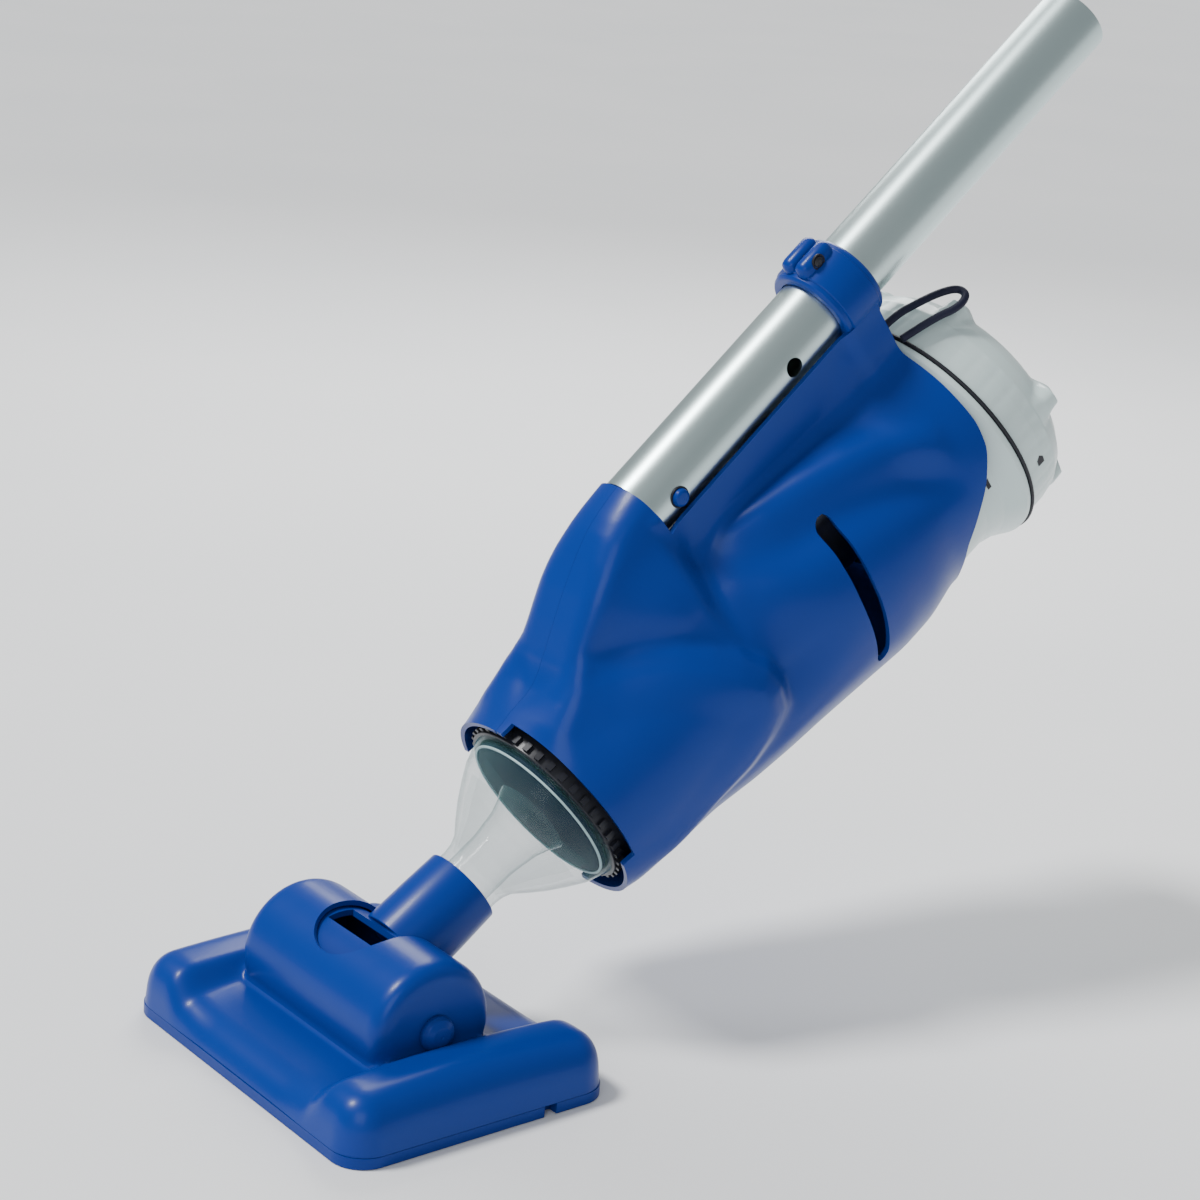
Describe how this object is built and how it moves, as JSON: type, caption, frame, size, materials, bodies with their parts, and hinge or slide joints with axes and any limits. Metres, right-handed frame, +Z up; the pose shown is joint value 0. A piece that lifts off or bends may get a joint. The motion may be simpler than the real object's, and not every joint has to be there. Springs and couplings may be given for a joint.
{
  "type": "hand-held pool vacuum",
  "caption": "Hand-held pool vacuum: tilting suction head on a clear twist-off nose, round body with a twist cap, and a pole section held in a saddle on top.",
  "frame": {"origin": "centre of the head's footprint under its pivot, on the flat sole", "axes": "+Z up from the sole, -X towards the head's front edge, the body and pole lean up towards +X, and Y runs along the head's pivot"},
  "size_m": [0.4207, 0.165, 0.4262],
  "materials": {
    "blue_gloss": "glossy moulded blue",
    "blue_satin": "semi-gloss moulded blue",
    "clear_nose": "clear moulded plastic with a faint blue-green tint",
    "pale_grey": "satin pale grey",
    "pole_metal": "satin anodised",
    "black_rubber": "matt",
    "navy_rubber": "satin",
    "filter_cloth": "fine mesh",
    "black_plastic": "matt",
    "steel": "plain",
    "cell_wrap": "shrink wrap",
    "copper_board": "board",
    "button_red": "matt"
  },
  "bodies": {
    "body": {"body_shell_left": "blue_gloss", "body_shell_right": "blue_gloss", "shell_screws": "steel", "clamp_screw": "steel", "pole_section": "pole_metal", "pole_spigot": "blue_satin", "button_spring": "steel", "rear_housing": "pale_grey", "cap_gasket": "black_rubber", "shaft_seal": "black_rubber", "motor": "steel", "motor_clamp": "black_plastic", "impeller_guard": "black_plastic", "battery_cells": "cell_wrap", "battery_tray": "black_plastic", "contact_plate": "copper_board", "filter_ring": "black_plastic", "filter_bag": "filter_cloth", "tether_loop": "black_rubber"},
    "nose": {"nose_cone": "clear_nose", "valve_seat": "navy_rubber", "flap_pin": "steel", "flap_posts": "black_plastic", "nose_gasket": "black_rubber"},
    "flap": {"flap_valve": "navy_rubber"},
    "neck": {"head_neck": "blue_gloss"},
    "head": {"head_top_shell": "blue_gloss", "head_sole": "blue_satin", "pivot_pins": "blue_satin"},
    "button": {"snap_button": "blue_satin"},
    "rotor": {"impeller": "black_plastic", "motor_shaft": "steel"},
    "cap": {"end_cap": "pale_grey"},
    "switch": {"power_button": "black_rubber"}
  },
  "joints": [
    {"name": "nose_twist", "type": "hinge", "parent": "body", "child": "nose", "pos_m": [0.09124, 0, 0.09566], "axis": [0.8146, 0, 0.58], "range_deg": [0, 50]},
    {"name": "flap_swing", "type": "hinge", "parent": "nose", "child": "flap", "pos_m": [0.07253, 0, 0.11487], "axis": [0, -1, 0], "range_deg": [0, 60]},
    {"name": "neck_pull", "type": "slide", "parent": "nose", "child": "neck", "axis": [-0.8146, 0, -0.58], "range_m": [0, 0.026]},
    {"name": "head_tilt", "type": "hinge", "parent": "neck", "child": "head", "pos_m": [0, 0, 0.0307], "axis": [0, 1, 0], "range_deg": [-15, 42]},
    {"name": "button_press", "type": "slide", "parent": "body", "child": "button", "axis": [0, 1, 0], "range_m": [0, 0.0042], "stiffness_N_per_m": 800, "springref_m": -0.002},
    {"name": "rotor_spin", "type": "hinge", "parent": "body", "child": "rotor", "pos_m": [0.20713, 0, 0.17271], "axis": [0.788, 0, 0.6157], "continuous": true},
    {"name": "cap_twist", "type": "hinge", "parent": "body", "child": "cap", "pos_m": [0.30169, 0, 0.24659], "axis": [0.788, 0, 0.6157], "range_deg": [0, 30]},
    {"name": "switch_press", "type": "slide", "parent": "cap", "child": "switch", "axis": [-0.788, 0, -0.6157], "range_m": [0, 0.002], "stiffness_N_per_m": 1200, "springref_m": -0.001}
  ]
}
